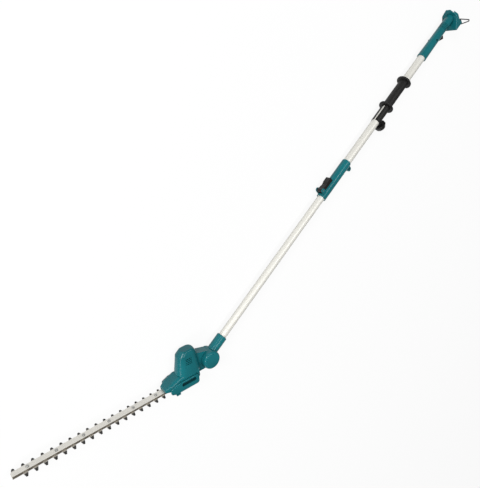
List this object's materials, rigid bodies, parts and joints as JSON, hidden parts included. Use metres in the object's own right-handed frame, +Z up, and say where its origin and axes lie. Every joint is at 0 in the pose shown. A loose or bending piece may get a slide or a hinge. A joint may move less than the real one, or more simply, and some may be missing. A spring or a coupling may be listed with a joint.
{
  "type": "pole hedge trimmer",
  "caption": "Cordless pole hedge trimmer: two toothed blades on a bar, tilting motor head, telescopic tube with cam lock, sliding front grip and trigger handle with battery rails.",
  "frame": {"origin": "on the flat right side of the battery housing, which lies on the floor", "axes": "+X back along the pole from the cutter to the handle, +Y from the trigger side to the motor hump side, +Z up from the floor to the tool's left side"},
  "size_m": [2.2763, 0.4147, 0.066],
  "materials": {
    "teal_plastic": "satin moulded plastic, fine grain",
    "black_plastic": "satin moulded plastic",
    "tube_alloy": "satin anodised",
    "blade_steel": "nickel plated, ground edges",
    "bar_steel": "nickel plated",
    "grip_rubber": "matte soft rubber",
    "zinc_steel": "bright zinc",
    "spring_steel": "drawn wire",
    "ring_steel": "black coated wire",
    "motor_can": "drawn can",
    "gear_steel": "machined",
    "plate_alloy": "die cast",
    "lead_rubber": "matte sheath",
    "board": "coated board",
    "terminal_plastic": "moulded block with contact blades"
  },
  "bodies": {
    "rear_pole": {"outer_tube": "tube_alloy", "lock_sleeve": "teal_plastic", "lock_sleeve_screw": "zinc_steel", "clamp_shoe": "black_plastic", "lever_pin": "zinc_steel", "hanger_eye": "teal_plastic", "handle_shell_left": "teal_plastic", "handle_shell_right": "teal_plastic", "handle_screws": "zinc_steel", "trigger_pin": "zinc_steel", "trigger_spring": "spring_steel", "switch": "black_plastic", "lock_off_spring": "spring_steel", "controller_board": "board", "battery_terminal": "terminal_plastic", "ring_bracket": "teal_plastic", "spiral_lead": "lead_rubber"},
    "front_pole": {"inner_tube": "tube_alloy", "slide_bush": "black_plastic", "pole_holder": "teal_plastic", "tilt_bolt": "zinc_steel", "tilt_nut": "zinc_steel", "cheek_cap": "teal_plastic"},
    "head": {"guide_bar": "bar_steel", "bar_bolts": "zinc_steel", "bar_sleeves": "zinc_steel", "bar_nuts": "zinc_steel", "bar_screws": "zinc_steel", "gear_plate": "plate_alloy", "motor": "motor_can", "upper_crank_bearing": "gear_steel", "lower_crank_bearing": "gear_steel", "head_shell_left": "teal_plastic", "head_shell_right": "teal_plastic", "head_screws": "zinc_steel", "nose_cover": "teal_plastic", "under_cover": "teal_plastic", "skirt_screws": "zinc_steel", "detent_plate": "zinc_steel", "tilt_lock_spring": "spring_steel"},
    "upper_cutter": {"upper_blade": "blade_steel", "upper_teeth": "blade_steel"},
    "lower_cutter": {"lower_blade": "blade_steel", "lower_teeth": "blade_steel"},
    "crank": {"crank_gear": "gear_steel"},
    "motor_shaft": {"motor_pinion": "gear_steel"},
    "tilt_button": {"tilt_lock_button": "black_plastic"},
    "lever": {"lock_lever": "black_plastic"},
    "grip": {"grip_core": "black_plastic", "grip_rubber": "grip_rubber", "grip_nut": "zinc_steel"},
    "knob": {"grip_knob": "black_plastic", "knob_stud": "zinc_steel"},
    "trigger_body": {"trigger": "black_plastic"},
    "lock_off": {"lock_off_button": "black_plastic"},
    "ring": {"hanging_ring": "ring_steel"}
  },
  "joints": [
    {"name": "telescope_slide", "type": "slide", "parent": "rear_pole", "child": "front_pole", "axis": [1, 0, 0], "range_m": [0, 0.52], "deforming": ["spiral_lead"]},
    {"name": "head_tilt", "type": "hinge", "parent": "front_pole", "child": "head", "pos_m": [-1.65, 0.017, 0.033], "axis": [0, 0, -1], "range_deg": [-105, 10]},
    {"name": "tilt_lock_press", "type": "slide", "parent": "head", "child": "tilt_button", "axis": [0, 0, 1], "range_m": [0, 0.004], "stiffness_N_per_m": 400, "springref_m": -0.004, "deforming": ["tilt_lock_spring"]},
    {"name": "upper_blade_slide", "type": "slide", "parent": "head", "child": "upper_cutter", "axis": [0.8161, -0.5779, 0], "range_m": [-0.0065, 0.0065]},
    {"name": "lower_blade_slide", "type": "slide", "parent": "head", "child": "lower_cutter", "axis": [0.8161, -0.5779, 0], "range_m": [-0.0065, 0.0065]},
    {"name": "crank_spin", "type": "hinge", "parent": "head", "child": "crank", "pos_m": [-1.75313, 0.05326, 0.033], "axis": [0.5779, 0.8161, 0], "continuous": true},
    {"name": "motor_spin", "type": "hinge", "parent": "head", "child": "motor_shaft", "pos_m": [-1.73018, 0.03701, 0.033], "axis": [0.5779, 0.8161, 0], "continuous": true},
    {"name": "lock_lever_lift", "type": "hinge", "parent": "rear_pole", "child": "lever", "pos_m": [-0.943, 0.0424, 0.033], "axis": [0, 0, 1], "range_deg": [0, 110]},
    {"name": "grip_slide", "type": "slide", "parent": "rear_pole", "child": "grip", "axis": [1, 0, 0], "range_m": [-0.18, 0.12]},
    {"name": "knob_turn", "type": "hinge", "parent": "grip", "child": "knob", "pos_m": [-0.568, -0.007, 0.033], "axis": [0, -1, 0], "range_deg": [0, 720]},
    {"name": "trigger_pull", "type": "hinge", "parent": "rear_pole", "child": "trigger_body", "pos_m": [-0.12, 0.006, 0.033], "axis": [0, 0, 1], "range_deg": [0, 8], "stiffness_Nm_per_rad": 0.6, "springref_deg": -8.59, "deforming": ["trigger_spring"]},
    {"name": "lock_off_press", "type": "slide", "parent": "rear_pole", "child": "lock_off", "axis": [0, 0, 1], "range_m": [0, 0.005], "stiffness_N_per_m": 400, "springref_m": -0.004, "deforming": ["lock_off_spring"]},
    {"name": "ring_swing", "type": "hinge", "parent": "rear_pole", "child": "ring", "pos_m": [0.023, -0.0265, 0.057], "axis": [0, -1, 0], "range_deg": [0, 90]}
  ],
  "couplings": [
    {"joint": "lower_blade_slide", "follows": "upper_blade_slide", "ratio": -1},
    {"joint": "motor_spin", "follows": "crank_spin", "ratio": -4}
  ]
}
